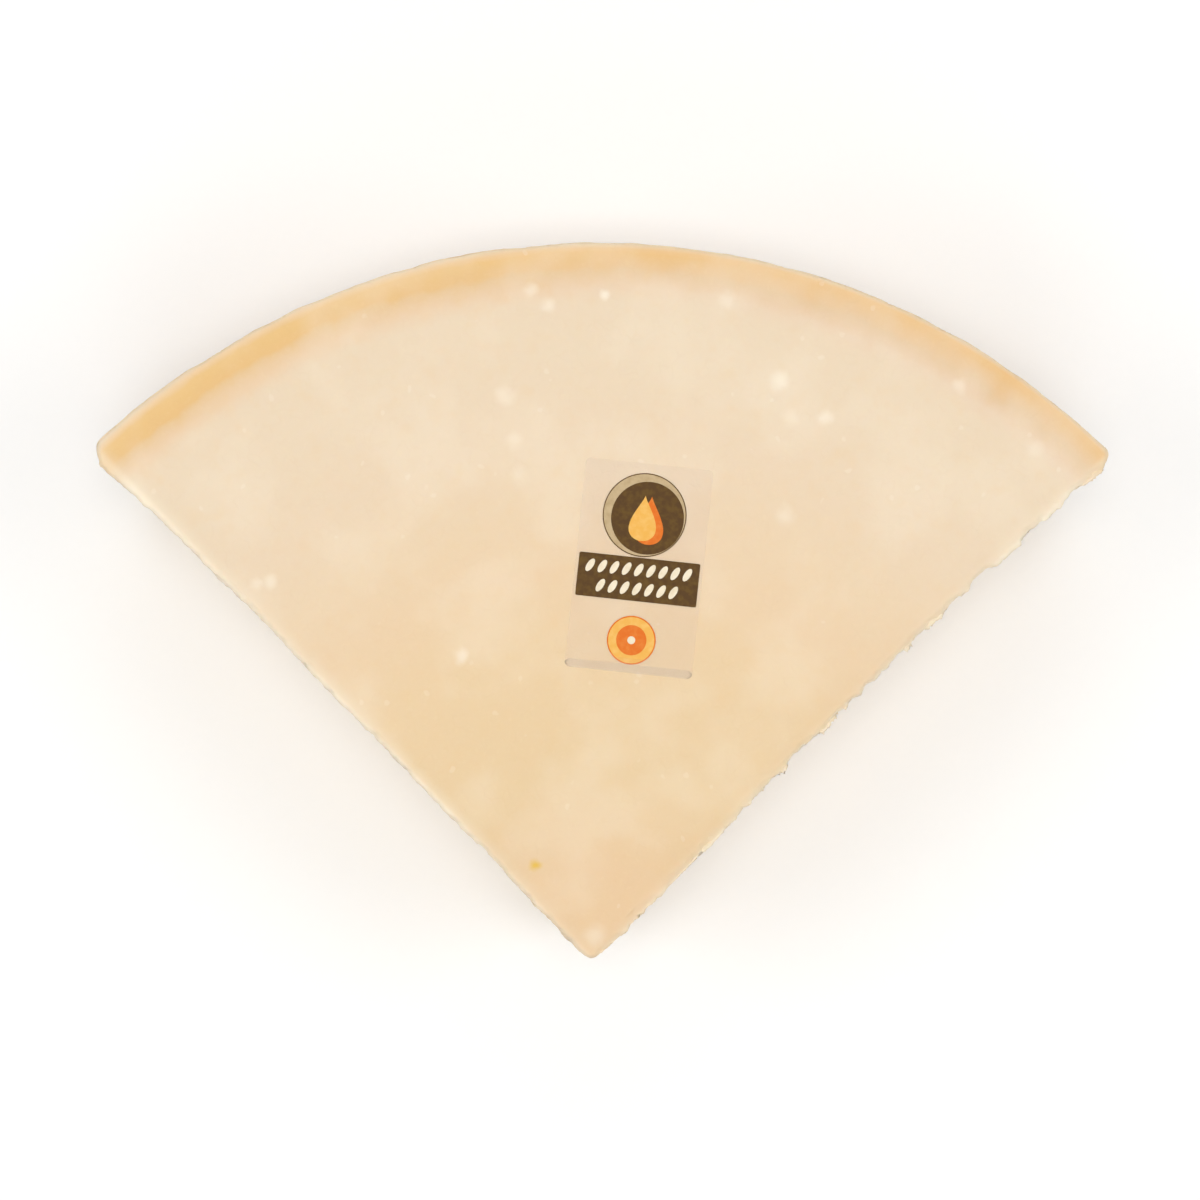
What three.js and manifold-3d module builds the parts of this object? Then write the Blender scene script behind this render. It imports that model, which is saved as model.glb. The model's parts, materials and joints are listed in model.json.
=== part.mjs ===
// A wedge of hard aged cheese with a clear label on it.
//
// The wedge is an eighth of a wheel: the wheel is cut flat through its waist, then cut upright into
// quarters. It lies on the wheel's flat face, with the waist cut facing up, its tip towards -Y and its
// rind towards +Y. The rind and the paste grew as one piece, so the wedge is one solid.
//
// Millimetres, +Z up. The shapes are drawn about the wheel's axis, and the group then moves them so that
// the origin is on the surface that the wedge lies on, under the middle of its bounding box.

import * as THREE from "three";
import { mergeVertices } from "three/addons/utils/BufferGeometryUtils.js";
import Module from "manifold-3d";

// Wheel
const WAIST_RADIUS = 220; // the wheel's largest radius, at the level of the flat cut
const WEDGE_HEIGHT = 112; // half of the wheel's height
const SIDE_BULGE = 8; // the waist stands this much further out than the foot of the side
const HEEL_RADIUS = 12; // rounding between the wheel's side and its flat face
const WHEEL_SEGMENTS = 240;
const SIDE_STEPS = 9;
const HEEL_STEPS = 5;

// Upright cuts, which meet a little off the wheel's axis
const CUTS_MEET = new THREE.Vector2(-2.3, 0.1);
// A cut's side is -1 to the left and +1 to the right. Its angle is measured from +Y, and its length is
// from where the cuts meet to the blunt corner at the rind.
const LEFT_CUT = { side: -1, angle: THREE.MathUtils.degToRad(44.0), length: 213.6 };
const RIGHT_CUT = { side: 1, angle: THREE.MathUtils.degToRad(45.5), length: 217 };
const CUT_BOW = 0.9; // the paste has shrunk in by this much halfway along a cut
const CUT_FLARE = 2.0; // the rind holds its width, so a cut flares out by this much at its end
const FLARE_POWER = 10;
const CUT_STEPS = 16;
const TIP_ROUNDING = 9.2; // the tip is rounded off from this far along each cut
const TIP_STEPS = 6;

// Chips that have crumbled from the right cut's upper edge: distance from where the cuts meet, size of
// the bite, and how far outside the edge its middle is
const CHIPS = [
  { along: 94, radius: 6, outside: 4.2 },
  { along: 106, radius: 8, outside: 6.6 },
  { along: 141, radius: 5, outside: 3.6 },
  { along: 167, radius: 6, outside: 4.6 },
];
const CHIP_DETAIL = 1; // subdivision of the icosahedron that bites out a chip

// Label
const LABEL_WIDTH = 38.8;
const LABEL_LENGTH = 63.6;
const LABEL_THICKNESS = 0.3;
const LABEL_CORNER = 1.5;
const LABEL_CORNER_STEPS = 3;
const LABEL_CENTRE = new THREE.Vector2(11.8, 121.3);
const LABEL_TURN = THREE.MathUtils.degToRad(-6.1);
const GLUE_GAP = 0.05; // the film lies this far above the cut face, on its glue

const wasm = await Module();
wasm.setup();

// A closed geometry as a manifold-3d solid.
function solidFrom(geometry) {
  const bare = geometry.clone();
  bare.deleteAttribute("normal");
  bare.deleteAttribute("uv");
  const merged = mergeVertices(bare, 1e-4);
  return new wasm.Manifold(
    new wasm.Mesh({
      numProp: 3,
      vertProperties: new Float32Array(merged.attributes.position.array),
      triVerts: new Uint32Array(merged.index.array),
    }),
  );
}

// A manifold-3d solid as a geometry.
function geometryFrom(solid) {
  const mesh = solid.getMesh();
  const geometry = new THREE.BufferGeometry()
    .setAttribute("position", new THREE.BufferAttribute(mesh.vertProperties, 3))
    .setIndex(new THREE.BufferAttribute(mesh.triVerts, 1));
  geometry.computeVertexNormals();
  return geometry;
}

// The radius of the wheel's side at a height: upright at the waist, drawn in towards the flat face.
function sideRadius(height) {
  const drop = 1 - height / WEDGE_HEIGHT;
  return WAIST_RADIUS - SIDE_BULGE * drop * drop;
}

// The lower half of the wheel, turned from its profile: flat face, heel, bulged side, waist cut.
function halfWheel() {
  const heelRadius = sideRadius(HEEL_RADIUS);
  const heel = Array.from({ length: HEEL_STEPS + 1 }, (_, i) => {
    const turn = (Math.PI / 2) * (i / HEEL_STEPS);
    return new THREE.Vector2(
      heelRadius - HEEL_RADIUS * (1 - Math.sin(turn)),
      HEEL_RADIUS * (1 - Math.cos(turn)),
    );
  });
  const side = Array.from({ length: SIDE_STEPS }, (_, i) => {
    const height = THREE.MathUtils.lerp(HEEL_RADIUS, WEDGE_HEIGHT, (i + 1) / SIDE_STEPS);
    return new THREE.Vector2(sideRadius(height), height);
  });
  const profile = [
    new THREE.Vector2(0, 0),
    ...heel,
    ...side,
    new THREE.Vector2(0, WEDGE_HEIGHT),
  ];
  return new THREE.LatheGeometry(profile, WHEEL_SEGMENTS).rotateX(Math.PI / 2);
}

// A point on an upright cut's edge, at a distance from where the cuts meet. outside moves the point
// away from the cheese.
function cutPoint({ side, angle, length }, along, outside = 0) {
  const share = along / length;
  const drift = CUT_FLARE * share ** FLARE_POWER - CUT_BOW * Math.sin(Math.PI * share);
  const forward = new THREE.Vector2(side * Math.sin(angle), Math.cos(angle));
  const outwards = new THREE.Vector2(side * Math.cos(angle), -Math.sin(angle));
  return CUTS_MEET.clone()
    .addScaledVector(forward, along)
    .addScaledVector(outwards, drift + outside);
}

function cutEdge(cut) {
  return Array.from({ length: CUT_STEPS + 1 }, (_, i) =>
    cutPoint(cut, THREE.MathUtils.lerp(TIP_ROUNDING, cut.length, i / CUT_STEPS)),
  );
}

// The prism that the upright cuts leave. The corners at the rind are blunt, square to X, and the prism
// ends past the rind, where the wheel's own side takes over.
function cutPrism() {
  const left = cutEdge(LEFT_CUT);
  const right = cutEdge(RIGHT_CUT);
  const tip = new THREE.QuadraticBezierCurve(left[0], CUTS_MEET, right[0]);
  const beyond = WAIST_RADIUS + HEEL_RADIUS;
  const outline = [
    ...tip.getPoints(TIP_STEPS),
    ...right.slice(1),
    new THREE.Vector2(right.at(-1).x, beyond),
    new THREE.Vector2(left.at(-1).x, beyond),
    ...left.slice(1).reverse(),
  ];
  const depth = WEDGE_HEIGHT + 2 * HEEL_RADIUS;
  const prism = new THREE.ExtrudeGeometry(new THREE.Shape(outline), {
    depth,
    bevelEnabled: false,
  });
  return prism.translate(0, 0, -HEEL_RADIUS);
}

function chip({ along, radius, outside }) {
  const middle = cutPoint(RIGHT_CUT, along, outside);
  return new THREE.IcosahedronGeometry(radius, CHIP_DETAIL)
    .rotateZ(along)
    .translate(middle.x, middle.y, WEDGE_HEIGHT);
}

function wedge() {
  const cut = solidFrom(halfWheel()).intersect(solidFrom(cutPrism()));
  const chipped = CHIPS.reduce((rest, bite) => rest.subtract(solidFrom(chip(bite))), cut);
  return geometryFrom(chipped);
}

// A rectangle with round corners, about its own middle.
function roundedRectangle(width, length, radius) {
  const [x, y] = [width / 2, length / 2];
  const shape = new THREE.Shape();
  shape.absarc(x - radius, y - radius, radius, 0, Math.PI / 2);
  shape.absarc(radius - x, y - radius, radius, Math.PI / 2, Math.PI);
  shape.absarc(radius - x, radius - y, radius, Math.PI, (3 * Math.PI) / 2);
  shape.absarc(x - radius, radius - y, radius, (3 * Math.PI) / 2, 2 * Math.PI);
  return shape;
}

function labelFilm() {
  return new THREE.ExtrudeGeometry(
    roundedRectangle(LABEL_WIDTH, LABEL_LENGTH, LABEL_CORNER),
    { depth: LABEL_THICKNESS, bevelEnabled: false, curveSegments: LABEL_CORNER_STEPS },
  );
}

function named(name, geometry, material) {
  const mesh = new THREE.Mesh(geometry, new THREE.MeshStandardMaterial(material));
  mesh.name = name;
  return mesh;
}

const cheese = named("cheese_wedge", wedge(), {
  color: 0xf2dcbe,
  roughness: 0.55,
  metalness: 0,
});

const label = named("label_film", labelFilm(), {
  color: 0xe8dcc4,
  roughness: 0.25,
  metalness: 0,
  transparent: true,
  opacity: 0.4,
});
label.position.set(LABEL_CENTRE.x, LABEL_CENTRE.y, WEDGE_HEIGHT + GLUE_GAP);
label.rotation.z = LABEL_TURN;

const wheelPlace = new THREE.Group();
wheelPlace.add(cheese, label);

// The origin goes under the middle of the wedge's bounding box.
const middle = new THREE.Box3().setFromObject(cheese).getCenter(new THREE.Vector3());
wheelPlace.position.set(-middle.x, -middle.y, 0);

const part = new THREE.Group();
part.add(wheelPlace);

export default part;
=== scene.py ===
# A wedge of hard aged cheese, lying on the flat rind face of the wheel it was cut from, with a small
# clear label on its upper cut face. Everything is in metres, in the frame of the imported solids.

import json
import math
import random

import bpy
import numpy as np
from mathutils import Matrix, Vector

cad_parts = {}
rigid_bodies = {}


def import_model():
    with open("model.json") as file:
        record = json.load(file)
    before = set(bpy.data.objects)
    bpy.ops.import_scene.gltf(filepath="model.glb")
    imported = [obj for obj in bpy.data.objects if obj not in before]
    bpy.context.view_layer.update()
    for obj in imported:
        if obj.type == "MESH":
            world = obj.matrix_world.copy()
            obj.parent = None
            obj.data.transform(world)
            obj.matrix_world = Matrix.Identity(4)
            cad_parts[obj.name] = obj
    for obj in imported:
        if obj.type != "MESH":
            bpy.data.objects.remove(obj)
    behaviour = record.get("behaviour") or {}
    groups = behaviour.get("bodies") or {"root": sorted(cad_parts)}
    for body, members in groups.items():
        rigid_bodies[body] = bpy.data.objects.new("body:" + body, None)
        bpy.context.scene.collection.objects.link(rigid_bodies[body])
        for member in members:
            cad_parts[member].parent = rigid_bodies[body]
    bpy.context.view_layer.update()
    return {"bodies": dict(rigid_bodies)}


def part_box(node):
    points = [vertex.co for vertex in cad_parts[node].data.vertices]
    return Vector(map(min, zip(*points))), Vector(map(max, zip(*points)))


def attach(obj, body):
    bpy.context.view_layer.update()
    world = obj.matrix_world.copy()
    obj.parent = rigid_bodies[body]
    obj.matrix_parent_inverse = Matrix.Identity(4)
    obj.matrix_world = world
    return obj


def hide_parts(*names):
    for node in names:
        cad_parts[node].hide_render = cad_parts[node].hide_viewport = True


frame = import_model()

MM = 0.001
BODY = next(iter(frame["bodies"]))
cheese_low, cheese_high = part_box("cheese_wedge")
film_low, film_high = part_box("label_film")

# The wheel that the wedge is cut from
WAIST_RADIUS = 220 * MM  # at the level of the flat cut, where the wheel is widest
WEDGE_HEIGHT = cheese_high.z
SIDE_BULGE = 8 * MM  # the waist stands this much further out than the foot of the side
HEEL_RADIUS = 12 * MM  # rounding between the wheel's side and its flat face
HEEL_SEGMENTS = 6
RIM_SIDES = 360
SIDE_LEVELS = (0, 20, 38, 56, 74, 93, 112)  # heights, in mm, at which the side is drawn in

# The upright cuts, as the solid has them
CUTS_MEET = Vector((-2.3, 0.1)) * MM  # from the wheel's axis
CUT_BOW = 0.9 * MM  # the paste has shrunk in by this much halfway along a cut
CUT_FLARE = 2.0 * MM  # the rind holds its width, so a cut flares out by this much at its end
FLARE_POWER = 10
TIP_ROUNDING = 6.7 * MM
TIP_SEGMENTS = 8
SPLIT_HOLLOW = 2 * MM  # the split face falls in by this much under its upper edge

# The mesh
VOXEL = 0.85 * MM
CRUMB_VOXEL = 0.5 * MM
TRIANGLES = 190_000
SEED = 11
SMALL_BITES = 70

# The label, about its own middle, and turned a little clockwise
LABEL_WIDTH = 38.8 * MM
LABEL_LENGTH = 63.6 * MM
LABEL_CORNER = 1.5 * MM
LABEL_TURN = math.radians(-6.1)
LABEL_CELL = 2 * MM
FILM_THICKNESS = 0.12 * MM
GLUE = 0.05 * MM
TAB_LENGTH = 2.6 * MM
CURL_ROWS = 3  # the lowest rows of cells, each of which lifts more than the one above
CURL_RISE = 0.1 * MM
TAB_LIFT = 0.35 * MM
INK = 0.04 * MM  # each ink is drawn thicker than it is, so that the one above it stays clear of it
DISC_UP, DISC_RADIUS = 16.2 * MM, 12.7 * MM
BAR_UP, BAR_WIDTH, BAR_LENGTH = -3.4 * MM, 36.8 * MM, 13.2 * MM
SEAL_UP, SEAL_RADIUS = -21.9 * MM, 7.4 * MM
ROW_UP, GRAIN_PITCH = 2.9 * MM, 3.7 * MM


class Cut:
    """An upright cut. Its side is -1 to the left and +1 to the right, and its angle is measured from +Y."""

    def __init__(self, name, side, degrees, length):
        angle = math.radians(degrees)
        self.name = name
        self.length = length
        self.forward = Vector((side * math.sin(angle), math.cos(angle)))
        self.outwards = Vector((side * math.cos(angle), -math.sin(angle)))

    def drift(self, along):
        """How far outside the straight line the cut runs, at a distance from where the cuts meet."""
        share = np.clip(along / self.length, 0, None)
        return CUT_FLARE * share**FLARE_POWER - CUT_BOW * np.sin(math.pi * np.clip(share, 0, 1))

    def point(self, along, outside=0):
        """A point of the cut, from the wheel's axis, seen from above."""
        reach = float(self.drift(along)) + outside
        return CUTS_MEET + self.forward * along + self.outwards * reach

    def inside(self, points):
        """How far each point, measured from the wheel's axis, is inside the cut."""
        flat = points[:, :2] - np.array(CUTS_MEET)
        return self.drift(flat @ np.array(self.forward)) - flat @ np.array(self.outwards)


LEFT = Cut("left", -1, 44.0, 213.6 * MM)
RIGHT = Cut("right", 1, 45.5, 217.0 * MM)
AXIS = Vector((cheese_low.x - LEFT.point(LEFT.length).x, cheese_high.y - WAIST_RADIUS, 0))
LABEL_CENTRE = (film_low.xy + film_high.xy) / 2


def above(flat, height):
    """A point given from the wheel's axis, seen from above, at a height, in the frame."""
    return Vector((flat.x + AXIS.x, flat.y + AXIS.y, height))


# ---------------------------------------------------------------- hand tools


def deselect():
    if bpy.context.object and bpy.context.object.mode != "OBJECT":
        bpy.ops.object.mode_set(mode="OBJECT")
    bpy.ops.object.select_all(action="DESELECT")


def take(piece):
    """Makes a piece the only one selected, and the active one."""
    deselect()
    piece.select_set(True)
    bpy.context.view_layer.objects.active = piece


def named(name):
    """Names the piece that was just added."""
    piece = bpy.context.object
    piece.name = name
    piece.data.name = name
    return piece


def edit(piece):
    take(piece)
    bpy.ops.object.mode_set(mode="EDIT")


def done():
    bpy.ops.object.mode_set(mode="OBJECT")


def pick(piece, kind, test):
    """Selects, on a piece in edit mode, only the vertices, edges or faces that pass the test."""
    bpy.ops.mesh.select_mode(type={"vertices": "VERT", "edges": "EDGE", "polygons": "FACE"}[kind])
    bpy.ops.mesh.select_all(action="DESELECT")
    done()
    for element in getattr(piece.data, kind):
        element.select = bool(test(element))
    bpy.ops.object.mode_set(mode="EDIT")


def finish_with(piece, kind, **settings):
    """Adds a modifier to a piece and applies it."""
    take(piece)
    modifier = piece.modifiers.new(kind.title(), kind)
    for name, value in settings.items():
        setattr(modifier, name, value)
    bpy.ops.object.modifier_apply(modifier=modifier.name)


def carve(piece, tool):
    """Cuts a piece by a tool, and throws the tool away."""
    finish_with(piece, "BOOLEAN", operation="DIFFERENCE", solver="EXACT", object=tool)
    bpy.data.objects.remove(tool)


def seat(piece):
    """Puts a piece's place in its mesh, and leaves its object at the origin, unturned and unscaled."""
    take(piece)
    bpy.ops.object.transform_apply(location=True, rotation=True, scale=True)


def weld(pieces, name):
    """Joins pieces into one, seated at the origin."""
    take(pieces[0])
    for piece in pieces[1:]:
        piece.select_set(True)
    if len(pieces) > 1:
        bpy.ops.object.join()
    whole = named(name)
    seat(whole)
    return whole


# ---------------------------------------------------------------- the wedge


def side_radius(height):
    """The radius of the wheel's side: upright at the waist, drawn in towards the flat face."""
    drop = 1 - height / WEDGE_HEIGHT
    return WAIST_RADIUS - SIDE_BULGE * drop * drop


def half_wheel():
    """The wheel's lower half: its round foot is extruded up, and drawn out at each level to the side."""
    levels = [level * MM for level in SIDE_LEVELS]
    reached = side_radius(HEEL_RADIUS)
    bpy.ops.mesh.primitive_circle_add(
        vertices=RIM_SIDES, radius=reached, fill_type="NGON", location=AXIS
    )
    wheel = named("wedge_of_cheese")
    seat(wheel)
    edit(wheel)
    bpy.ops.mesh.select_all(action="SELECT")
    for below, level in zip(levels, levels[1:]):
        rise = {"value": (0, 0, level - below)}
        bpy.ops.mesh.extrude_region_move(TRANSFORM_OT_translate=rise)
        spread = side_radius(level) / reached
        centre = (AXIS.x, AXIS.y, level)
        bpy.ops.transform.resize(value=(spread, spread, 1), center_override=centre)
        reached = side_radius(level)
    bpy.ops.mesh.select_all(action="SELECT")
    bpy.ops.mesh.normals_make_consistent(inside=False)
    done()
    low = [vertex.co.z < MM for vertex in wheel.data.vertices]
    edit(wheel)
    pick(wheel, "edges", lambda edge: all(low[i] for i in edge.vertices))
    bpy.ops.mesh.bevel(offset=HEEL_RADIUS, segments=HEEL_SEGMENTS, affect="EDGES")
    done()
    return wheel


def saw_block(cut):
    """What is cut away beyond a cut: a block whose near side is bowed as the cut face is."""
    reach = 240 * MM
    stations = 31
    middle = above(CUTS_MEET + cut.outwards * reach / 2, WEDGE_HEIGHT / 2)
    turn = math.atan2(cut.forward.y, cut.forward.x)
    size = (2 * reach, reach, 1.4 * WEDGE_HEIGHT)
    bpy.ops.mesh.primitive_cube_add(size=1, location=middle, rotation=(0, 0, turn), scale=size)
    block = named("saw_block")
    seat(block)

    def from_meeting(point, way):
        return (point.xy - AXIS.xy - CUTS_MEET).dot(way)

    edit(block)
    ends = [from_meeting(vertex.co, cut.forward) for vertex in block.data.vertices]
    pick(block, "edges", lambda edge: abs(ends[edge.vertices[0]] - ends[edge.vertices[1]]) > reach)
    bpy.ops.mesh.subdivide(number_cuts=stations)
    for station in range(stations + 2):
        place = 2 * reach * station / (stations + 1) - reach
        if place <= 0:
            continue

        def on_near_side(vertex):
            near = from_meeting(vertex.co, cut.outwards) < reach / 2
            return near and abs(from_meeting(vertex.co, cut.forward) - place) < MM

        pick(block, "vertices", on_near_side)
        move = cut.outwards * float(cut.drift(place))
        bpy.ops.transform.translate(value=(move.x, move.y, 0))
    done()
    return block


def round_tip(wedge):
    """Rounds the upright edge where the two cuts meet."""
    tip = above(CUTS_MEET, 0)

    def at_tip(edge):
        ends = [wedge.data.vertices[i].co for i in edge.vertices]
        near = all((end.xy - tip.xy).length < MM for end in ends)
        return near and abs(ends[0].z - ends[1].z) > WEDGE_HEIGHT / 2

    edit(wedge)
    bpy.ops.mesh.select_all(action="SELECT")
    bpy.ops.mesh.remove_doubles(threshold=0.02 * MM)
    pick(wedge, "edges", at_tip)
    bpy.ops.mesh.bevel(offset=TIP_ROUNDING, segments=TIP_SEGMENTS, affect="EDGES")
    done()


def blunt_corners(wedge):
    """Takes the sharp corners off at the rind, square to X."""
    edit(wedge)
    for cut, way in ((LEFT, -1), (RIGHT, 1)):
        bpy.ops.mesh.select_all(action="SELECT")
        bpy.ops.mesh.bisect(
            plane_co=above(cut.point(cut.length), 0),
            plane_no=(way, 0, 0),
            use_fill=True,
            clear_outer=True,
        )
    done()


def bites():
    """Where the right cut's upper edge has crumbled, in mm: place along it, radius and how far outside."""
    rng = random.Random(SEED)
    large = [
        (89, 6, 4.5),
        (96, 5, 3.8),
        (106, 8, 6.8),
        (131, 4.5, 3.4),
        (141, 5, 3.4),
        (156, 7, 5.6),
        (167, 6, 4.6),
    ]
    small = []
    for _ in range(SMALL_BITES):
        radius = rng.uniform(1.2, 2.8)
        small.append((rng.uniform(62, 208), radius, radius * rng.uniform(0.35, 0.8)))
    return large + small


def bite_tool():
    """The crumbled pieces, as one tool: rough lumps along the right cut's upper edge."""
    rng = random.Random(SEED + 1)
    lumps = []
    for along, radius, outside in bites():
        place = above(RIGHT.point(along * MM, outside * MM), WEDGE_HEIGHT - rng.uniform(-1, 1) * MM)
        deselect()
        bpy.ops.mesh.primitive_ico_sphere_add(
            subdivisions=2,
            radius=radius * MM,
            location=place,
            rotation=[rng.uniform(0, math.tau) for _ in range(3)],
            scale=[rng.uniform(0.8, 1.25) for _ in range(3)],
        )
        lumps.append(named("bite"))
    tool = weld(lumps, "bites")
    finish_with(tool, "REMESH", mode="VOXEL", voxel_size=CRUMB_VOXEL)
    return tool


def smooth_share(values, full, none):
    """1 where a value is at full, 0 where it is at none, and smooth between."""
    share = np.clip((values - none) / (full - none), 0, 1)
    return share * share * (3 - 2 * share)


def regions(wedge):
    """How much each vertex belongs to each face. The top stays flat at the label, and the split face is
    calm near its upper edge and the rind, where only its fine crumb goes on."""
    points = np.zeros(len(wedge.data.vertices) * 3)
    wedge.data.vertices.foreach_get("co", points)
    points = points.reshape(-1, 3)
    height = points[:, 2]
    from_axis = points - np.array(AXIS)
    depth = side_radius(height) - np.hypot(from_axis[:, 0], from_axis[:, 1])
    from_label = np.hypot(*(points[:, :2] - np.array(LABEL_CENTRE)).T)
    off_floor = smooth_share(height, 6 * MM, MM)
    left = smooth_share(LEFT.inside(from_axis), 0, 2.5 * MM) * off_floor
    right = smooth_share(RIGHT.inside(from_axis), 0, 4 * MM)
    hollow = right * smooth_share(WEDGE_HEIGHT - height, 4 * MM, MM)
    right = right * off_floor
    rest = (1 - left) * (1 - right)
    calm = smooth_share(depth, 9 * MM, 2 * MM) * smooth_share(WEDGE_HEIGHT - height, 16 * MM, MM)
    split = right * (0.3 + 0.7 * calm)
    on_top = smooth_share(WEDGE_HEIGHT - height, 0, MM)
    rind = smooth_share(depth, MM, 4 * MM) * rest * (1 - on_top) * off_floor
    top = on_top * rest * smooth_share(from_label, 55 * MM, 38 * MM)
    return {
        "hollow": hollow,
        "left": left,
        "split": split,
        "right": right,
        "top": top,
        "rind": rind,
    }


def mark(piece, name, shares, levels=20):
    """A vertex group with the given shares, in steps."""
    group = piece.vertex_groups.new(name=name)
    steps = np.rint(shares * levels).astype(int)
    for step in range(1, levels + 1):
        group.add(np.flatnonzero(steps == step).tolist(), step / levels, "REPLACE")


def roughen(piece, group, texture, strength, mid_level=0.5, **settings):
    """Pushes a group of vertices in and out along their normals, by a texture."""
    pattern = bpy.data.textures.new(f"{group}_{texture.lower()}", texture)
    for name, value in settings.items():
        setattr(pattern, name, value)
    finish_with(
        piece,
        "DISPLACE",
        texture=pattern,
        texture_coords="LOCAL",
        strength=strength,
        mid_level=mid_level,
        vertex_group=group,
    )


def level_top_and_foot(wedge):
    """Nothing stands above the flat cut, made with a wire through the whole wheel, or below the foot."""
    plane = WEDGE_HEIGHT + 0.1 * MM
    edit(wedge)
    pick(wedge, "vertices", lambda vertex: vertex.co.z > plane)
    bpy.ops.transform.resize(value=(1, 1, 0.05), center_override=(0, 0, plane))
    pick(wedge, "vertices", lambda vertex: vertex.co.z < 0.1 * MM)
    bpy.ops.transform.resize(value=(1, 1, 0), center_override=(0, 0, 0))
    done()


def model_wedge():
    wedge = half_wheel()
    for cut in (LEFT, RIGHT):
        carve(wedge, saw_block(cut))
    round_tip(wedge)
    blunt_corners(wedge)
    carve(wedge, bite_tool())
    finish_with(wedge, "REMESH", mode="VOXEL", voxel_size=VOXEL)
    finish_with(wedge, "SMOOTH", factor=0.5, iterations=1)
    for name, shares in regions(wedge).items():
        mark(wedge, name, shares)
    # The right face was split, and fell in a little below its upper edge. It has broad swells, then
    # grains that stand proud with cracks between them.
    cracks = {"weight_1": -1, "weight_2": 1}
    finish_with(wedge, "DISPLACE", strength=-SPLIT_HOLLOW, mid_level=0, vertex_group="hollow")
    roughen(wedge, "split", "CLOUDS", 8.0 * MM, noise_scale=34 * MM, noise_depth=1)
    roughen(wedge, "split", "VORONOI", 9.5 * MM, 0.4, noise_scale=19 * MM, **cracks)
    roughen(wedge, "split", "VORONOI", 5.0 * MM, 0.4, noise_scale=7 * MM, **cracks)
    roughen(wedge, "right", "CLOUDS", 2.0 * MM, noise_scale=2.6 * MM, noise_depth=2)
    # The left face was sliced: a slow waver, and only small grains pulled out of it.
    roughen(wedge, "left", "CLOUDS", 2.4 * MM, noise_scale=30 * MM, noise_depth=1)
    roughen(wedge, "left", "VORONOI", 1.4 * MM, 0.4, noise_scale=7 * MM, **cracks)
    roughen(wedge, "left", "CLOUDS", 1.0 * MM, noise_scale=2.6 * MM, noise_depth=1)
    roughen(wedge, "top", "CLOUDS", 0.6 * MM, noise_scale=50 * MM, noise_depth=0)
    roughen(wedge, "rind", "CLOUDS", 2.2 * MM, noise_scale=32 * MM, noise_depth=1)
    roughen(wedge, "rind", "CLOUDS", 0.8 * MM, noise_scale=7 * MM, noise_depth=2)
    level_top_and_foot(wedge)
    triangles = sum(len(face.vertices) - 2 for face in wedge.data.polygons)
    finish_with(wedge, "DECIMATE", ratio=TRIANGLES / triangles)
    take(wedge)
    bpy.ops.object.shade_smooth()
    return wedge


# ---------------------------------------------------------------- the label


def on_label(across, up, height=0):
    """A point of the label, from its own middle, above the cut face, in the frame."""
    cos, sin = math.cos(LABEL_TURN), math.sin(LABEL_TURN)
    x = LABEL_CENTRE.x + across * cos - up * sin
    y = LABEL_CENTRE.y + across * sin + up * cos
    return Vector((x, y, WEDGE_HEIGHT + height))


def stick(piece, across, up, height, turn=0):
    """Lays a flat piece that was shaped at the origin on the label, and seats it."""
    piece.location = on_label(across, up, height)
    piece.rotation_euler.z = LABEL_TURN + turn
    seat(piece)


def sheet(width, length):
    """A sheet of film, scored into cells, with its corners rounded."""
    bpy.ops.mesh.primitive_grid_add(
        size=1,
        x_subdivisions=round(width / LABEL_CELL),
        y_subdivisions=round(length / LABEL_CELL),
    )
    film = named("film")
    film.scale = (width, length, 1)
    seat(film)
    corner = Vector((width / 2, length / 2))

    def at_corner(vertex):
        return abs(abs(vertex.co.x) - corner.x) + abs(abs(vertex.co.y) - corner.y) < 0.1 * MM

    edit(film)
    pick(film, "vertices", at_corner)
    bpy.ops.mesh.bevel(offset=LABEL_CORNER, segments=4, affect="VERTICES")
    done()
    return film


def model_film():
    """The clear film: its lower end is folded back as a tab to lift it by, and curls up a little."""
    film = sheet(LABEL_WIDTH, LABEL_LENGTH)
    edit(film)
    for row in range(CURL_ROWS):
        reach = (2.6 - row) * LABEL_CELL - LABEL_LENGTH / 2
        pick(film, "vertices", lambda vertex: vertex.co.y < reach)
        bpy.ops.transform.translate(value=(0, 0, CURL_RISE))
    done()
    finish_with(film, "SOLIDIFY", thickness=FILM_THICKNESS, offset=1)
    stick(film, 0, 0, GLUE)
    tab = sheet(LABEL_WIDTH, TAB_LENGTH)
    finish_with(tab, "SOLIDIFY", thickness=FILM_THICKNESS, offset=1)
    stick(tab, 0, (TAB_LENGTH - LABEL_LENGTH) / 2, GLUE + TAB_LIFT + FILM_THICKNESS)
    whole = weld([film, tab], "label_film_clear")
    take(whole)
    bpy.ops.object.shade_smooth_by_angle(angle=math.radians(40))
    return whole


def spot_of_ink(width, length, sides=64):
    """A round or oval spot of ink, flat, at the origin."""
    bpy.ops.mesh.primitive_circle_add(vertices=sides, radius=0.5, fill_type="NGON")
    spot = named("ink")
    spot.scale = (width, length, 1)
    seat(spot)
    return spot


def print_ink(shape, across, up, layer, turn=0):
    """Gives a flat shape of ink its thickness, and lays it on the film or on the inks below it."""
    finish_with(shape, "SOLIDIFY", thickness=0.9 * INK, offset=1)
    stick(shape, across, up, GLUE + FILM_THICKNESS + layer * INK, turn)
    return shape


def ring_of_ink(radius, width, aside=0):
    """A ring: a spot is inset, its middle is moved aside, down and to the right, and taken out."""
    ring = spot_of_ink(2 * radius, 2 * radius)
    edit(ring)
    bpy.ops.mesh.select_all(action="SELECT")
    bpy.ops.mesh.inset(thickness=width)
    bpy.ops.transform.translate(value=(0.6 * aside, -0.8 * aside, 0))
    bpy.ops.mesh.delete(type="FACE")
    done()
    return ring


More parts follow.
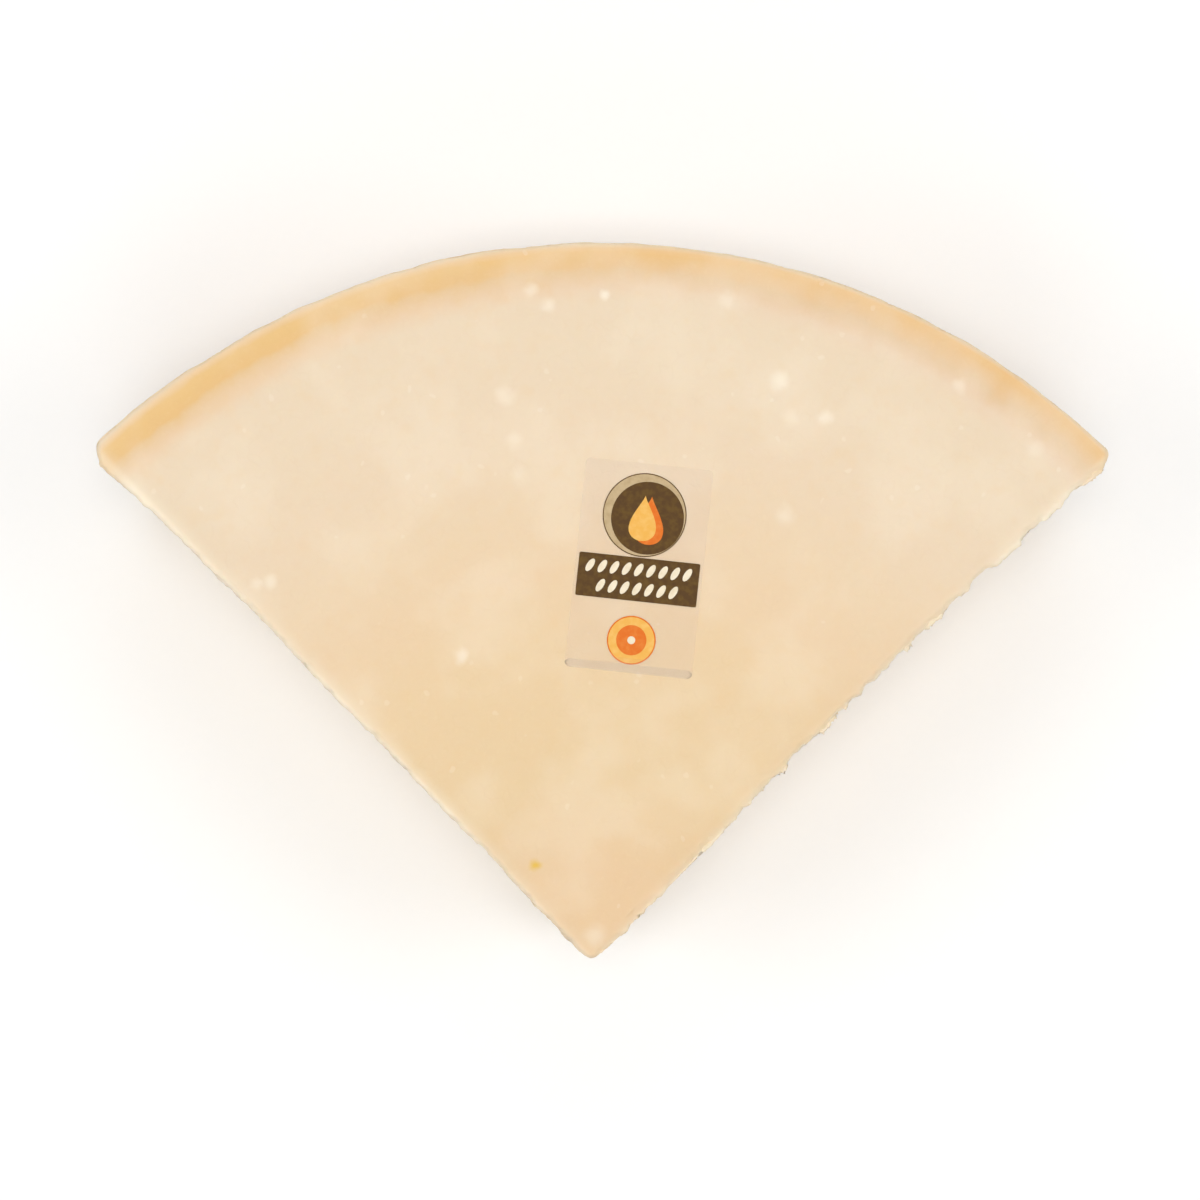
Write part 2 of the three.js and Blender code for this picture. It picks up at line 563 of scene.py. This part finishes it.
def bar_of_ink(width, length, corner):
    """A bar with round corners."""
    bpy.ops.mesh.primitive_plane_add(size=1)
    bar = named("ink")
    bar.scale = (width, length, 1)
    seat(bar)
    edit(bar)
    bpy.ops.mesh.select_all(action="SELECT")
    bpy.ops.mesh.bevel(offset=corner, segments=5, affect="VERTICES")
    done()
    return bar


def drop_of_ink(radius, sides=48):
    """A milk drop: a round spot, drawn in row by row towards its top, then drawn out upwards."""
    drop = spot_of_ink(2 * radius, 2 * radius, sides)
    edit(drop)
    for row in range(1, sides // 2):
        turn = math.tau * row / sides
        level = radius * math.cos(turn)
        pick(drop, "vertices", lambda vertex: abs(vertex.co.y - level) < 0.01 * MM)
        bpy.ops.transform.resize(value=(math.sin(turn / 2) ** 1.6, 1, 1), center_override=(0, level, 0))
    bpy.ops.mesh.select_all(action="SELECT")
    bpy.ops.transform.resize(value=(1, 1.15, 1), center_override=(0, 0, 0))
    done()
    return drop


def row_of_grains(up, count, pitch, layer):
    """Grains of corn, side by side: one is shaped, and the rest are copies of it."""
    grain = spot_of_ink(2.0 * MM, 4.4 * MM, 16)
    print_ink(grain, -pitch * (count - 1) / 2, up, layer, math.radians(-28))
    step = on_label(pitch, 0) - on_label(0, 0)
    grains = [grain]
    for number in range(1, count):
        take(grain)
        bpy.ops.object.duplicate()
        bpy.ops.transform.translate(value=step * number)
        grains.append(bpy.context.object)
    return grains


def model_inks():
    """Each ink's shapes as one piece: a disc with a milk drop and a pale crescent that is a painted
    reflection of the film's gloss, a bar with grains of corn, and a seal.
    """
    disc = print_ink(spot_of_ink(2 * DISC_RADIUS, 2 * DISC_RADIUS), 0, DISC_UP, 0)
    bar = print_ink(bar_of_ink(BAR_WIDTH, BAR_LENGTH, 0.5 * MM), 0, BAR_UP, 0)
    seal = print_ink(spot_of_ink(2 * SEAL_RADIUS, 2 * SEAL_RADIUS), 0, SEAL_UP, 0)
    seal_ring = print_ink(ring_of_ink(SEAL_RADIUS - 0.4 * MM, 2.4 * MM), 0, SEAL_UP, 1)
    seal_dot = print_ink(spot_of_ink(2.4 * MM, 2.4 * MM, 32), 0, SEAL_UP, 1)
    shade = print_ink(drop_of_ink(6.4 * MM), 1.7 * MM, DISC_UP - 1.5 * MM, 1)
    drop = print_ink(drop_of_ink(6.0 * MM), -0.3 * MM, DISC_UP - 1.0 * MM, 2)
    # A pale crescent on the disc's upper left, thickest there: a painted reflection of the film's gloss.
    painted_sheen_crescent = print_ink(
        ring_of_ink(DISC_RADIUS - 0.3 * MM, 1.35 * MM, 1.28 * MM), 0, DISC_UP, 1, math.radians(12)
    )
    rows = row_of_grains(BAR_UP + ROW_UP, 9, GRAIN_PITCH, 1)
    rows += row_of_grains(BAR_UP - ROW_UP, 7, GRAIN_PITCH, 1)
    return {
        "brown": weld([disc, bar], "label_ink_brown"),
        "orange": weld([seal, shade], "label_ink_orange"),
        "amber": weld([drop, seal_ring], "label_ink_amber"),
        "cream": weld([seal_dot] + rows, "label_ink_cream"),
        "painted_film_sheen": weld([painted_sheen_crescent], "label_ink_fawn"),
    }


# ---------------------------------------------------------------- materials


def linear(code):
    """An sRGB hex colour as a linear colour with alpha."""
    parts = [int(code[i : i + 2], 16) / 255 for i in (1, 3, 5)]
    return [c / 12.92 if c <= 0.04045 else ((c + 0.055) / 1.055) ** 2.4 for c in parts] + [1.0]


def add(tree, kind, *values, inputs=None, stops=(), **settings):
    """Adds a node with its settings, and gives its inputs, in order or by name, a value or another node."""
    node = tree.nodes.new(f"ShaderNode{kind}")
    for name, value in settings.items():
        setattr(node, name, value)
    in_order = zip([socket for socket in node.inputs if socket.enabled], values)
    by_name = [(node.inputs[name], value) for name, value in (inputs or {}).items()]
    for socket, value in [*in_order, *by_name]:
        if isinstance(value, bpy.types.Node):
            value = next(output for output in value.outputs if output.enabled)
        if isinstance(value, bpy.types.NodeSocket):
            tree.links.new(value, socket)
        elif value is not None:
            socket.default_value = value
    for number, (place, code) in enumerate(stops):
        elements = node.color_ramp.elements
        element = elements[number] if number < len(elements) else elements.new(place)
        element.position = place
        element.color = linear(code)
    return node


def new_material(name):
    material = bpy.data.materials.new(name)
    material.use_nodes = True
    material.node_tree.nodes.clear()
    return material, material.node_tree


SMOOTH = {"interpolation_type": "SMOOTHSTEP"}
COLOURS = {"data_type": "RGBA"}

# How deep under the rind the cut paste has each colour, in mm: warm where it dried, and paler inside.
# The left of the wedge is warmer and changes faster than the right.
# Each band's first stop, at 0.3 mm, is paler than the next: a painted highlight on the rounded rim, which
# the light from above leaves darker.
RIND_BAND = 20
LEFT_BAND = [
    (0.3, "#E5D0B2"),
    (1.3, "#E3C69E"),
    (3, "#E0BA7E"),
    (5, "#DEB77A"),
    (7.5, "#DDB57A"),
    (9, "#DCBB8C"),
    (11, "#DEC099"),
    (14, "#E0C29F"),
]
RIGHT_BAND = [
    (0.3, "#E2CBAA"),
    (1.8, "#DFB67C"),
    (3.2, "#DDB47B"),
    (5, "#DCB683"),
    (7, "#DBB88C"),
    (9, "#D9BB95"),
    (12, "#DDC2A3"),
    (14, "#DFC7AC"),
]
# The paste at each distance from the wheel's axis, in mm
PASTE = [
    (30, "#DDBE96"),
    (60, "#DCC197"),
    (100, "#DEC39B"),
    (120, "#DFC4A0"),
    (140, "#DFC7A6"),
    (160, "#DFC9AC"),
    (185, "#DFCBAF"),
]
# Crystals of the aged paste show as pale soft spots on the flat cut: place from the wheel's axis, radius
# and strength
PALE_SPOTS = [
    (-21.1, 205.5, 3.0, 0.5),
    (-15.6, 201.0, 3.2, 0.6),
    (1.7, 204.6, 2.4, 0.9),
    (38.6, 202.5, 3.6, 0.4),
    (54.7, 178.2, 4.4, 0.8),
    (57.7, 166.7, 3.8, 0.35),
    (68.3, 166.7, 3.6, 0.7),
    (109.2, 176.7, 3.4, 0.45),
    (-28.6, 173.7, 4.4, 0.45),
    (-26.2, 160.1, 3.8, 0.4),
    (-24.1, 149.5, 3.8, 0.3),
    (56.2, 137.4, 4.2, 0.4),
    (-99.8, 117.7, 3.2, 0.55),
    (-103.5, 116.2, 3.0, 0.45),
    (-42.3, 95.0, 3.4, 0.65),
    (131.9, 157.1, 3.6, 0.35),
    (-1.4, 10.1, 5.0, 0.4),
]
AMBER_SPOTS = [(-19.6, 31.6, 2.7, 1.0)]


class WheelPlace:
    """Where a point of the cheese is in the wheel, and which way it faces, as nodes of a material."""

    def __init__(self, tree):
        self.place = add(tree, "TexCoord").outputs["Object"]
        self.wheel = add(tree, "Mapping", self.place, -AXIS)
        x, y, self.height = add(tree, "SeparateXYZ", self.wheel).outputs
        self.flat = add(tree, "CombineXYZ", x, y)
        self.radius = add(tree, "VectorMath", self.flat, operation="LENGTH")
        self.turn = add(tree, "Math", x, y, operation="ARCTAN2")
        normal = add(tree, "NewGeometry").outputs["Normal"]
        radial = add(tree, "VectorMath", self.flat, operation="NORMALIZE")
        self.facing_up = add(tree, "SeparateXYZ", normal).outputs[2]
        self.facing_out = add(tree, "VectorMath", normal, radial, operation="DOT_PRODUCT")
        drop = add(tree, "Math", self.height, -1 / WEDGE_HEIGHT, 1.0, operation="MULTIPLY_ADD")
        drop = add(tree, "Math", drop, 2.0, operation="POWER")
        side = add(tree, "Math", drop, -SIDE_BULGE, WAIST_RADIUS, operation="MULTIPLY_ADD")
        self.to_side = add(tree, "Math", side, self.radius, operation="SUBTRACT")
        self.depth = add(tree, "Math", self.to_side, self.height, 21 * MM, operation="SMOOTH_MIN")
        self.to_cut = add(
            tree, "Math", *(self.inside(tree, cut) for cut in (LEFT, RIGHT)), operation="MINIMUM"
        )

    def inside(self, tree, cut):
        """How far a point is inside a cut, allowing for most of the cut's bow."""
        outwards = (cut.outwards.x, cut.outwards.y, 0)
        beyond = add(tree, "VectorMath", self.wheel, outwards, operation="DOT_PRODUCT")
        middle = CUTS_MEET.dot(cut.outwards) - 0.7 * CUT_BOW
        return add(tree, "Math", middle, beyond, operation="SUBTRACT")


class Grain:
    """The patterns of the paste, as nodes of a material: clouds, patches, crumb, cracks and crystals."""

    def __init__(self, tree, place):
        clouds = add(tree, "TexNoise", place, 1 / (26 * MM), 2.0)
        patches = add(tree, "TexNoise", place, 1 / (6 * MM), 3.0)
        self.clouds = clouds.outputs["Fac"]
        self.patches = patches.outputs["Fac"]
        self.shift = patches.outputs["Color"]
        self.crumb = add(tree, "TexNoise", place, 1 / (1.6 * MM), 5.0, 0.62).outputs["Fac"]
        bent = add(tree, "VectorMath", self.shift, (4 * MM,) * 3, place, operation="MULTIPLY_ADD")
        coarse = add(tree, "TexVoronoi", bent, 1 / (4.2 * MM), feature="DISTANCE_TO_EDGE")
        crack = add(tree, "MapRange", coarse, 0.13, 0.0, **SMOOTH)
        here_and_there = add(tree, "MapRange", self.patches, 0.47, 0.62, **SMOOTH)
        self.crack = add(tree, "Math", crack, here_and_there, operation="MULTIPLY")
        lumps = add(tree, "TexVoronoi", bent, 1 / (2.8 * MM), feature="SMOOTH_F1")
        self.lumps = lumps.outputs["Distance"]
        cells = add(tree, "TexVoronoi", bent, 1 / (7 * MM))
        chosen = add(tree, "SeparateXYZ", cells.outputs["Color"])
        near = add(tree, "MapRange", cells, 0.16, 0.07, **SMOOTH)
        crystal = add(tree, "MapRange", chosen.outputs[0], 0.62, 0.68, **SMOOTH)
        pit = add(tree, "MapRange", chosen.outputs[1], 0.8, 0.84, **SMOOTH)
        self.crystal = add(tree, "Math", near, crystal, operation="MULTIPLY")
        self.pit = add(tree, "Math", near, pit, operation="MULTIPLY")


def colours_by_mm(tree, distance, reach, stops):
    """Colours along a distance, at places given in mm."""
    share = add(tree, "Math", distance, 1 / (reach * MM), operation="MULTIPLY")
    return add(tree, "ValToRGB", share, stops=[(place / reach, code) for place, code in stops])


def soft_spots(tree, wheel, shift, places):
    """Soft ragged patches on the flat cut: the strongest at each point."""
    swing = (4 * MM, 4 * MM, 0)
    middle = (-2 * MM, -2 * MM, 0)
    shift = add(tree, "VectorMath", shift, swing, middle, operation="MULTIPLY_ADD")
    here = add(tree, "VectorMath", wheel, shift, operation="ADD")
    strongest = 0.0
    for x, y, radius, strength in places:
        middle = (x * MM, y * MM, WEDGE_HEIGHT)
        away = add(tree, "VectorMath", here, middle, operation="DISTANCE")
        share = add(tree, "MapRange", away, radius * MM, 0.1 * radius * MM, 0.0, strength, **SMOOTH)
        strongest = add(tree, "Math", strongest, share, operation="MAXIMUM")
    return strongest


def paste_colour(tree, at, grain):
    """The paste by its distance from the axis, and the band under the rind over it."""
    waver = add(tree, "Math", grain.clouds, 4.4 * MM, -2.2 * MM, operation="MULTIPLY_ADD")
    ragged = add(tree, "Math", grain.patches, 3 * MM, waver, operation="MULTIPLY_ADD")
    ragged = add(tree, "Math", ragged, -1.5 * MM, operation="ADD")
    deep = add(tree, "MapRange", at.depth, 0.0, 6 * MM, **SMOOTH)
    depth = add(tree, "Math", ragged, deep, at.depth, operation="MULTIPLY_ADD")
    to_right = add(tree, "MapRange", at.turn, -0.55, 0.45, **SMOOTH)
    left = colours_by_mm(tree, depth, RIND_BAND, LEFT_BAND)
    right = colours_by_mm(tree, depth, RIND_BAND, RIGHT_BAND)
    band = add(tree, "Mix", to_right, left, right, **COLOURS)
    paste = colours_by_mm(tree, at.radius, WAIST_RADIUS / MM, PASTE)
    in_band = add(tree, "MapRange", depth, 19 * MM, 11 * MM, **SMOOTH)
    return add(tree, "Mix", in_band, paste, band, **COLOURS), in_band


def grained(tree, colour, grain, upright):
    """The paste's unevenness over its colour, faint on the wired cut and plain on the upright ones, with
    painted shade in the low ground of the relief, a painted highlight on its proud crumbs, and painted
    light on the upright faces.
    """
    layers = [
        # The upright faces' straw tint is partly their own colour and partly painted light: lighter and
        # warmer than the top, to make up for the dimmer light on them.
        (upright, (0.0, 1.0), (0.0, 0.7), "#F3CF92"),
        (grain.clouds, (0.4, 0.68), (0.25, 0.25), "#EBDDC6"),
        (grain.patches, (0.5, 0.2), (0.12, 0.4), "#DDB67A"),
        # Cracks and the low ground between lumps are darkened: painted shade in the recesses of the relief.
        # Proud crumbs are lightened: partly their paler colour and partly a painted highlight.
        (grain.crack, (0.0, 1.0), (0.03, 0.22), "#C99D62"),
        (grain.lumps, (0.3, 0.75), (0.02, 0.25), "#D6AA69"),
        (grain.crumb, (0.5, 0.72), (0.05, 0.35), "#F7E6BE"),
        (grain.crystal, (0.0, 1.0), (0.12, 0.85), "#F8F2E6"),
        # Pits are darkened: painted shade in their hollows.
        (grain.pit, (0.0, 1.0), (0.0, 0.4), "#BC8C4E"),
    ]
    for pattern, (none, full), (on_top, at_side), code in layers:
        share = add(tree, "MapRange", pattern, none, full, **SMOOTH)
        most = add(tree, "MapRange", upright, 0.0, 1.0, on_top, at_side)
        share = add(tree, "Math", share, most, operation="MULTIPLY")
        colour = add(tree, "Mix", share, colour, linear(code), **COLOURS)
    return colour


def pale_arris_with_painted_highlight(tree, colour, at, grain, in_band, upright):
    """The upper edges of the cuts are paler over about 5 mm, least at the tip and the rind. Their arris and
    the steep faces near the top get a painted highlight, which offsets the shade that the lamp above leaves
    on them.
    """
    uneven = add(tree, "Math", grain.patches, 2 * MM, -MM, operation="MULTIPLY_ADD")
    inside = add(tree, "Math", at.to_cut, uneven, operation="ADD")
    near = add(tree, "MapRange", inside, 5.5 * MM, 0.0)
    near = add(tree, "Math", near, 1.8, operation="POWER")
    # Within 2.4 mm of a cut, and on steep faces, this share is a painted highlight against their shade.
    edge = add(tree, "MapRange", at.to_cut, 2.4 * MM, 0.2 * MM, 0.0, 0.7, **SMOOTH)
    edge = add(tree, "Math", edge, upright, operation="MAXIMUM")
    fading = 1.0
    for part in (
        add(tree, "MapRange", at.radius, 5 * MM, 70 * MM, 0.4, 1.0, **SMOOTH),
        add(tree, "MapRange", at.height, WEDGE_HEIGHT - 8 * MM, WEDGE_HEIGHT - MM, **SMOOTH),
        add(tree, "MapRange", in_band, 0.0, 1.0, 1.0, 0.4),
    ):
        fading = add(tree, "Math", fading, part, operation="MULTIPLY")
    # The first colour makes the band paler; the second is painted light on the arris and the steep faces
    # near the top.
    for share, code in ((near, "#E9DAC0"), (edge, "#F2E3CB")):
        share = add(tree, "Math", share, fading, operation="MULTIPLY")
        colour = add(tree, "Mix", share, colour, linear(code), **COLOURS)
    return colour


class Skin:
    """The rind's outside, as nodes of a material: where it is, its colour and its relief."""

    def __init__(self, tree, at, grain):
        facing_out = add(tree, "MapRange", at.facing_out, 0.55, 0.75, **SMOOTH)
        outermost = add(tree, "MapRange", at.to_side, 5 * MM, 3 * MM, **SMOOTH)
        below_cut = add(
            tree, "MapRange", at.height, WEDGE_HEIGHT - MM, WEDGE_HEIGHT - 4 * MM, **SMOOTH
        )
        facing_down = add(tree, "MapRange", at.facing_up, -0.35, -0.6, **SMOOTH)
        lowest = add(tree, "MapRange", at.height, 8 * MM, 4 * MM, **SMOOTH)
        on_side = add(tree, "Math", facing_out, outermost, operation="MULTIPLY")
        on_side = add(tree, "Math", on_side, below_cut, operation="MULTIPLY")
        on_flat = add(tree, "Math", facing_down, lowest, operation="MULTIPLY")
        self.share = add(tree, "Math", on_side, on_flat, operation="MAXIMUM")

        # The cloth that lined the mould has left its threads, drawn here at twice their real pitch.
        along_rim = add(tree, "Math", at.turn, WAIST_RADIUS, operation="MULTIPLY")
        unrolled = add(tree, "CombineXYZ", along_rim, at.height)
        laid = add(tree, "Mix", on_flat, unrolled, at.flat, data_type="VECTOR")
        per_thread = 0.314 / (2.2 * MM)
        warp = add(tree, "TexWave", laid, per_thread, 0.8, 1.0, bands_direction="X")
        weft = add(tree, "TexWave", laid, per_thread, 0.8, 1.0, bands_direction="Y")
        cloth = add(
            tree, "Math", warp.outputs["Fac"], weft.outputs["Fac"], operation="MULTIPLY"
        )
        pressed = add(tree, "MapRange", grain.clouds, 0.6, 0.42, **SMOOTH)
        self.cloth = add(tree, "Math", cloth, pressed, operation="MULTIPLY")

        drawn = add(tree, "Mapping", laid, None, None, (1.0, 0.6, 1.0))
        self.streaks = add(tree, "TexNoise", drawn, 1 / (10 * MM), 5.0).outputs["Fac"]
        colour = add(
            tree,
            "ValToRGB",
            self.streaks,
            stops=[(0.3, "#C89757"), (0.45, "#D1A362"), (0.56, "#D8AD6D"), (0.72, "#DDB77D")],
        )
        threads = add(tree, "Math", self.cloth, 0.3, operation="MULTIPLY")
        colour = add(tree, "Mix", threads, colour, linear("#E4C596"), **COLOURS)
        scuffs = add(tree, "MapRange", grain.patches, 0.36, 0.24, 0.0, 0.5, **SMOOTH)
        self.colour = add(tree, "Mix", scuffs, colour, linear("#AA7740"), **COLOURS)


def cheese_material():
    """Hard cow's milk cheese: pressed, brined, aged for two years, then wired flat and split upright."""
    # The paste is dry and fatty: pale straw, nearly matt, close-grained, with white crystals. It has dried
    # to amber under the rind, and the rind is hard and tan, with a waxy sheen and the mould cloth's print.
    material, tree = new_material("hard_aged_cheese_wired_and_split")
    at = WheelPlace(tree)
    grain = Grain(tree, at.place)
    skin = Skin(tree, at, grain)
    upright = add(tree, "MapRange", at.facing_up, 0.9, 0.5, **SMOOTH)

    colour, in_band = paste_colour(tree, at, grain)
    colour = grained(tree, colour, grain, upright)
    colour = pale_arris_with_painted_highlight(tree, colour, at, grain, in_band, upright)
    pale = soft_spots(tree, at.wheel, grain.shift, PALE_SPOTS)
    colour = add(tree, "Mix", pale, colour, linear("#EDE0CB"), **COLOURS)
    amber = soft_spots(tree, at.wheel, grain.shift, AMBER_SPOTS)
    colour = add(tree, "Mix", amber, colour, linear("#DCB44F"), **COLOURS)
    colour = add(tree, "Mix", skin.share, colour, skin.colour, **COLOURS)

    # Grains stand proud with cracks and pits between them, strongly at the sides and faintly on top.
    relief = add(tree, "Math", grain.lumps, -0.9, grain.crumb, operation="MULTIPLY_ADD")
    relief = add(tree, "Math", grain.crack, -0.6, relief, operation="MULTIPLY_ADD")
    relief = add(tree, "Math", grain.pit, -0.8, relief, operation="MULTIPLY_ADD")
    depth = add(tree, "MapRange", upright, 0.0, 1.0, 0.05, 1.0)
    relief = add(tree, "Math", relief, depth, operation="MULTIPLY")
    skin_relief = add(tree, "Math", skin.cloth, 0.25, operation="MULTIPLY")
    skin_relief = add(tree, "Math", skin.streaks, 0.5, skin_relief, operation="MULTIPLY_ADD")
    relief = add(tree, "Mix", skin.share, relief, skin_relief)
    bump = add(tree, "Bump", inputs={"Strength": 0.7, "Distance": 0.9 * MM, "Height": relief})
    dry = add(tree, "Math", grain.crumb, 0.18, 0.5, operation="MULTIPLY_ADD")
    waxy = add(tree, "Math", skin.streaks, 0.25, 0.28, operation="MULTIPLY_ADD")
    shader = add(
        tree,
        "BsdfPrincipled",
        inputs={
            "Base Color": colour,
            "Roughness": add(tree, "Mix", skin.share, dry, waxy),
            "IOR": 1.45,
            "Specular IOR Level": 0.35,
            "Subsurface Weight": 0.12,
            "Subsurface Radius": (1.0, 0.55, 0.25),
            "Subsurface Scale": 4 * MM,
            "Normal": bump,
        },
    )
    add(tree, "OutputMaterial", shader)
    return material


def film_material():
    """Clear polypropylene film, cast, with glue behind it."""
    # It greys what lies under it slightly, and more where it is folded.
    material, tree = new_material("clear_polypropylene_film_glued")
    place = add(tree, "TexCoord").outputs["Object"]
    smears = add(tree, "TexNoise", place, 1 / (7 * MM), 3.0).outputs["Fac"]
    tint = add(tree, "ValToRGB", smears, stops=[(0.35, "#B59C8E"), (0.65, "#CDB7A8")])
    gloss = add(tree, "Math", smears, 0.2, 0.12, operation="MULTIPLY_ADD")
    bump = add(tree, "Bump", inputs={"Strength": 0.25, "Distance": 0.2 * MM, "Height": smears})
    shader = add(
        tree,
        "BsdfPrincipled",
        inputs={
            "Base Color": tint,
            "Roughness": gloss,
            "IOR": 1.49,
            "Alpha": 0.053,
            "Normal": bump,
        },
    )
    add(tree, "OutputMaterial", shader)
    return material


def ink_material(name, code, thin_code):
    """Flexo ink, printed: even and matt, and a little mottled where it lies thin."""
    material, tree = new_material(f"flexo_ink_{name}_printed")
    place = add(tree, "TexCoord").outputs["Object"]
    mottle = add(tree, "TexNoise", place, 1 / (1.8 * MM), 4.0).outputs["Fac"]
    thin = add(tree, "MapRange", mottle, 0.35, 0.75, **SMOOTH)
    colour = add(tree, "Mix", thin, linear(code), linear(thin_code), **COLOURS)
    bump = add(tree, "Bump", inputs={"Strength": 0.2, "Distance": 0.05 * MM, "Height": mottle})
    roughness = add(tree, "Math", mottle, 0.2, 0.5, operation="MULTIPLY_ADD")
    shader = add(
        tree,
        "BsdfPrincipled",
        inputs={
            "Base Color": colour,
            "Roughness": roughness,
            "IOR": 1.5,
            "Specular IOR Level": 0.2,
            "Normal": bump,
        },
    )
    add(tree, "OutputMaterial", shader)
    return material


def board_material():
    """Painted board, rolled and matt, so it stays plain."""
    material, tree = new_material("painted_board_matt")
    place = add(tree, "TexCoord").outputs["Object"]
    roller = add(tree, "TexNoise", place, 1 / (3 * MM), 2.0)
    colour = add(tree, "Mix", roller, linear("#F9F9F8"), linear("#FBFBFA"), **COLOURS)
    shader = add(tree, "BsdfPrincipled", inputs={"Base Color": colour, "Roughness": 0.9})
    add(tree, "OutputMaterial", shader)
    return material


# ---------------------------------------------------------------- the studio


FLOOR_SIZE = 8
FLOOR_GAP = 0.3 * MM  # keeps the board's face from flickering against the wedge's


def floor():
    deselect()
    bpy.ops.mesh.primitive_plane_add(size=FLOOR_SIZE, location=(0, 0, -FLOOR_GAP))
    board = named("floor")
    board.data.materials.append(board_material())


ROOM_STRENGTH = 0.29
TOP_BOX = {"place": Vector((0, 0, 2.1)), "size": 0.6, "watts": 18.0}
SIDE_BOX = {"reach": 1.2, "height": 1.5, "size": 0.9}
SIDE_WATTS = (7.2, 3.3, 7.2, 3.3)  # from the right, behind, the left and in front


def softbox(place, size, watts):
    deselect()
    bpy.ops.object.light_add(type="AREA", location=place)
    lamp = bpy.context.object
    lamp.rotation_euler = place.to_track_quat("Z", "Y").to_euler()
    lamp.data.size = size
    lamp.data.energy = watts


def lights():
    """A softbox straight above, which leaves hardly a shadow, and four low ones around the wedge."""
    softbox(TOP_BOX["place"], TOP_BOX["size"], TOP_BOX["watts"])
    for number, watts in enumerate(SIDE_WATTS):
        turn = math.tau * number / len(SIDE_WATTS)
        x, y = SIDE_BOX["reach"] * math.cos(turn), SIDE_BOX["reach"] * math.sin(turn)
        softbox(Vector((x, y, SIDE_BOX["height"])), SIDE_BOX["size"], watts)
    world = bpy.data.worlds.new("pale_room")
    bpy.context.scene.world = world
    world.use_nodes = True
    world.node_tree.nodes["Background"].inputs["Color"].default_value = linear("#FFFFFF")
    world.node_tree.nodes["Background"].inputs["Strength"].default_value = ROOM_STRENGTH


def camera():
    """Straight above the wedge, with the rind at the top of the picture."""
    lens = 100
    sensor = 36
    span = 363.5 * MM  # the width of the picture at the level of the upper cut face
    deselect()
    bpy.ops.object.camera_add(location=(AXIS.x, 0, WEDGE_HEIGHT + span * lens / sensor))
    eye = bpy.context.object
    eye.rotation_euler = (0, 0, 0)
    eye.data.lens = lens
    eye.data.sensor_width = sensor
    bpy.context.scene.camera = eye
    bpy.context.scene.view_settings.view_transform = "Standard"


# ---------------------------------------------------------------- the whole


def dress(piece, material):
    """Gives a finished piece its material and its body."""
    piece.data.materials.clear()
    piece.data.materials.append(material)
    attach(piece, BODY)


INK_COLOURS = {
    "brown": ("#51350C", "#624718"),
    "orange": ("#D96A12", "#DD7C2E"),
    "amber": ("#E5AB4C", "#E9B762"),
    "cream": ("#E9DCC2", "#DFD0B2"),
    # The disc's pale crescent: a painted reflection of the film's gloss, printed as ink.
    "painted_film_sheen": ("#BFA780", "#B19870"),
}

wedge = model_wedge()
dress(wedge, cheese_material())
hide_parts("cheese_wedge")

film = model_film()
dress(film, film_material())
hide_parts("label_film")

for name, piece in model_inks().items():
    dress(piece, ink_material(name, *INK_COLOURS[name]))

floor()
lights()
camera()
